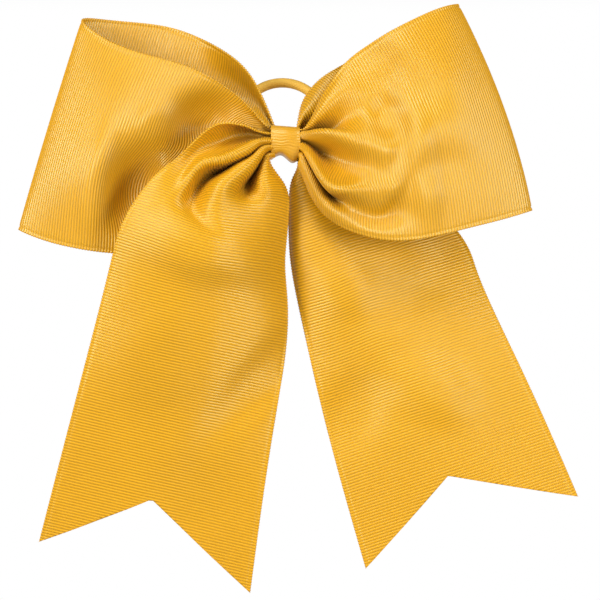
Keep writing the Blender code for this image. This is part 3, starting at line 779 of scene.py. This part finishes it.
def noise(tree, vector, scale, detail=2.0):
    """Soft random noise at each place."""
    made = node(tree, "ShaderNodeTexNoise")
    feed(tree, made.inputs["Vector"], vector)
    made.inputs["Scale"].default_value = scale
    made.inputs["Detail"].default_value = detail
    return made.outputs["Fac"]


def streaks(tree, uv, scale, turn=0.0):
    """Fine noise drawn out along one direction of the weave."""
    made = node(tree, "ShaderNodeMapping")
    feed(tree, made.inputs["Vector"], uv)
    made.inputs["Rotation"].default_value = (0.0, 0.0, turn)
    made.inputs["Scale"].default_value = scale
    return noise(tree, made.outputs["Vector"], 1.0)


def bumped(tree, shader, height, strength, distance):
    """Gives a shader the fine relief of a height."""
    made = node(tree, "ShaderNodeBump")
    made.inputs["Strength"].default_value = strength
    made.inputs["Distance"].default_value = distance
    feed(tree, made.inputs["Height"], height)
    feed(tree, shader.inputs["Normal"], made.outputs["Normal"])


def grosgrain(name, pitch, colour, groove_shade, light, gloss, tint):
    """Ribbed polyester: painted shade between the ribs and, by ambient occlusion, deep in the pleats; fine
    yarn across each rib, its streaks paler towards a painted glint; cloudy sheen."""
    made, tree, shader = shader_of(name)
    uv = node(tree, "ShaderNodeUVMap", uv_map="weave").outputs["UV"]
    place = node(tree, "ShaderNodeTexCoord").outputs["Object"]
    parts = node(tree, "ShaderNodeSeparateXYZ")
    feed(tree, parts.inputs[0], uv)
    phase = calculated(tree, "MULTIPLY", parts.outputs["X"], 2 * math.pi / (pitch * MM))
    rib = calculated(tree, "COSINE", phase)
    yarn = streaks(tree, uv, (900.0, 4200.0, 1.0))
    cloud = noise(tree, place, 28.0, 3.0)

    # Painted shade: the colour darkens towards the groove of each rib
    groove_shaded = mixed(tree, ranged(tree, rib, (-1.0, 0.6)), groove_shade, colour)
    # Painted glint: the yarn streaks turn paler towards the glint colour
    glint_flecked = mixed(tree, ranged(tree, yarn, (0.35, 0.75), (0.0, 0.35)), groove_shaded, light)
    clouded = node(tree, "ShaderNodeHueSaturation")
    feed(tree, clouded.inputs["Color"], glint_flecked)
    feed(tree, clouded.inputs["Value"], ranged(tree, cloud, target=(0.93, 1.07)))
    # Painted shade: ambient occlusion darkens hollows narrower than about 7 mm towards the hollow colour
    painted_occlusion = node(tree, "ShaderNodeAmbientOcclusion", samples=8)
    painted_occlusion.inputs["Distance"].default_value = 7.0 * MM
    lit = ranged(tree, painted_occlusion.outputs["AO"], (0.08, 0.62), kind="SMOOTHSTEP")
    occlusion_shaded = mixed(tree, lit, HOLLOW_PAINTED_SHADE, clouded.outputs["Color"])

    feed(tree, shader.inputs["Base Color"], occlusion_shaded)
    feed(tree, shader.inputs["Roughness"], ranged(tree, yarn, target=(0.3, 0.42)))
    bumped(tree, shader, yarn, 0.3, 0.06 * MM)
    shader.inputs["Sheen Weight"].default_value = 0.03
    shader.inputs["Sheen Roughness"].default_value = 0.4
    shader.inputs["IOR"].default_value = 1.65
    shader.inputs["Specular IOR Level"].default_value = gloss
    shader.inputs["Specular Tint"].default_value = tint
    return made


def knitted(name, colour, light):
    """The knitted cover of the elastic."""
    made, tree, shader = shader_of(name)
    uv = node(tree, "ShaderNodeUVMap", uv_map="weave").outputs["UV"]
    fibre = streaks(tree, uv, (3600.0, 1400.0, 1.0), math.radians(35))
    feed(tree, shader.inputs["Base Color"], mixed(tree, fibre, colour, light))
    bumped(tree, shader, fibre, 0.4, 0.1 * MM)
    shader.inputs["Roughness"].default_value = 0.6
    shader.inputs["Sheen Weight"].default_value = 0.05
    shader.inputs["Specular Tint"].default_value = (0.6, 1.0, 0.7, 1.0)
    return made


def mottled(name, colour, other, scale, roughness):
    """A plain hidden material with a little variation."""
    made, tree, shader = shader_of(name)
    place = node(tree, "ShaderNodeTexCoord").outputs["Object"]
    cloud = noise(tree, place, scale)
    feed(tree, shader.inputs["Base Color"], mixed(tree, cloud, colour, other))
    shader.inputs["Roughness"].default_value = roughness
    return made


def finish_with(piece, material):
    piece.data.materials.clear()
    piece.data.materials.append(material)


# ---------------------------------------------------------------- stage


def ground():
    """A grey floor that fades to glowing white behind the object."""
    corners = [(x * FLOOR_REACH, y * FLOOR_REACH, FLOOR) for x, y in ((-1, -1), (1, -1), (1, 1), (-1, 1))]
    floor = new_object("floor", corners, [(0, 1, 2, 3)])
    made, tree, shader = shader_of("floor_white")
    shader.inputs["Base Color"].default_value = (0.5, 0.5, 0.5, 1.0)
    shader.inputs["Roughness"].default_value = 0.9
    parts = node(tree, "ShaderNodeSeparateXYZ")
    feed(tree, parts.inputs[0], node(tree, "ShaderNodeTexCoord").outputs["Object"])
    glow = node(tree, "ShaderNodeEmission")
    glow.inputs["Strength"].default_value = 1.0
    faded = node(tree, "ShaderNodeMixShader")
    fade = tuple(v * MM for v in FLOOR_FADE)
    feed(tree, faded.inputs["Fac"], ranged(tree, parts.outputs["Y"], fade, kind="SMOOTHSTEP"))
    feed(tree, faded.inputs[1], shader.outputs["BSDF"])
    feed(tree, faded.inputs[2], glow.outputs["Emission"])
    feed(tree, tree.nodes["Material Output"].inputs["Surface"], faded.outputs["Shader"])
    finish_with(floor, made)


def sky():
    """White at the horizon ahead, greyer above, below and behind."""
    world = bpy.data.worlds.new("studio")
    world.use_nodes = True
    bpy.context.scene.world = world
    tree = world.node_tree
    parts = node(tree, "ShaderNodeSeparateXYZ")
    feed(tree, parts.inputs[0], node(tree, "ShaderNodeTexCoord").outputs["Generated"])
    height = calculated(tree, "ABSOLUTE", parts.outputs["Z"])
    band = ranged(tree, height, (0.10, 0.16), (1.0, 0.4), "SMOOTHSTEP")
    ahead = ranged(tree, parts.outputs["Y"], (0.1, 0.8), (0.4, 1.0), "SMOOTHSTEP")
    background = tree.nodes["Background"]
    feed(tree, background.inputs["Strength"], calculated(tree, "MULTIPLY", band, ahead))
    background.inputs["Color"].default_value = (1.0, 1.0, 1.0, 1.0)


def lamps():
    """Two soft boxes beside the camera and a larger one above it, all aimed at the bow."""
    boxes = (
        ("left", (-690.0, -790.0, 130.0), (380.0, 380.0), 7.1),
        ("right", (720.0, -760.0, 30.0), (380.0, 380.0), 6.1),
        ("key", (-160.0, -600.0, 780.0), (600.0, 450.0), 5.1),
    )
    for name, place, size, power in boxes:
        lamp = bpy.data.lights.new(name, "AREA")
        lamp.shape = "RECTANGLE"
        lamp.size = size[0] * MM
        lamp.size_y = size[1] * MM
        lamp.energy = power
        made = bpy.data.objects.new(name, lamp)
        made.location = [v * MM for v in place]
        aim = Vector(LAMP_AIM) - Vector(place)
        made.rotation_euler = aim.to_track_quat("-Z", "Y").to_euler()
        bpy.context.scene.collection.objects.link(made)


def camera():
    lens = bpy.data.cameras.new("camera")
    lens.lens = LENS
    lens.sensor_width = SENSOR
    lens.clip_start = 0.05
    made = bpy.data.objects.new("camera", lens)
    made.location = [v * MM for v in CAMERA_PLACE]
    made.rotation_euler = (math.radians(90), 0.0, 0.0)
    bpy.context.scene.collection.objects.link(made)
    bpy.context.scene.camera = made


# ---------------------------------------------------------------- assembly


def assemble():
    """Makes each piece, gives it its material, puts the knot's pieces and the ring on their bodies in the
    frame and hides the frame parts the pieces stand for.
    """
    satin = grosgrain("loop_grosgrain", RIB_PITCH, LOOP_GOLD, DARK_GOLD_AND_GROOVE_SHADE, GLINT, 0.56, LOOP_TINT)
    ribbon = grosgrain("tail_grosgrain", RIB_PITCH, TAIL_GOLD, DARK_GOLD_AND_GROOVE_SHADE, GLINT, 0.44, TAIL_TINT)
    narrow = grosgrain("band_grosgrain", BAND_PITCH, BAND_GOLD, BAND_GROOVE_SHADE, LOOP_GOLD, 0.6, LOOP_TINT)
    cover = knitted("elastic_knit", (0.78, 0.41, 0.03, 1.0), (0.92, 0.56, 0.09, 1.0))
    waist = mottled("waist_ribbon", TAIL_GOLD, DARK_GOLD_AND_GROOVE_SHADE, 300.0, 0.6)
    thread = mottled("thread", (0.75, 0.72, 0.66, 1.0), (0.6, 0.57, 0.5, 1.0), 900.0, 0.7)
    glue = mottled("glue", (0.82, 0.78, 0.66, 1.0), (0.7, 0.66, 0.54, 1.0), 400.0, 0.35)
    rubber = mottled("rubber", (0.70, 0.62, 0.48, 1.0), (0.6, 0.5, 0.38, 1.0), 500.0, 0.5)

    ribbons = (
        (left_loop, "left_loop", (-5.8, -10.0, 0.0), (-30.0, -10.0, 0.0), "folded"),
        (right_loop, "right_loop", (5.8, -12.0, 0.0), (30.0, -12.0, 0.0), "folded"),
        (left_tail, "left_tail", (-6.0, -14.0, -5.0), (-25.0, -14.0, -30.0), "gathered"),
        (right_tail, "right_tail", (6.0, -7.0, -4.0), (22.0, -7.0, -30.0), "gathered"),
    )
    for build, body, start, end, held in ribbons:
        piece, length, notch = build()
        finish_with(piece, satin if held == "folded" else ribbon)
        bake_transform(piece)
        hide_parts(body)

    band = wrapped_band()
    finish_with(band, narrow)
    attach(band, "knot")
    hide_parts("knot_band")

    ring = elastic_ring()
    finish_with(ring, cover)
    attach(ring, "elastic")
    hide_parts("elastic_cover")

    bundle = gathers()
    finish_with(bundle, waist)
    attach(bundle, "knot")
    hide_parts("gathered_waist")

    winding = binding()
    finish_with(winding, thread)
    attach(winding, "knot")
    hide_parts("binding_thread")

    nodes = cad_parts
    finish_with(nodes["knot_glue"], glue)
    finish_with(nodes["elastic_core"], rubber)


camera()
ground()
sky()
lamps()
assemble()
bpy.context.scene.view_settings.view_transform = "Standard"
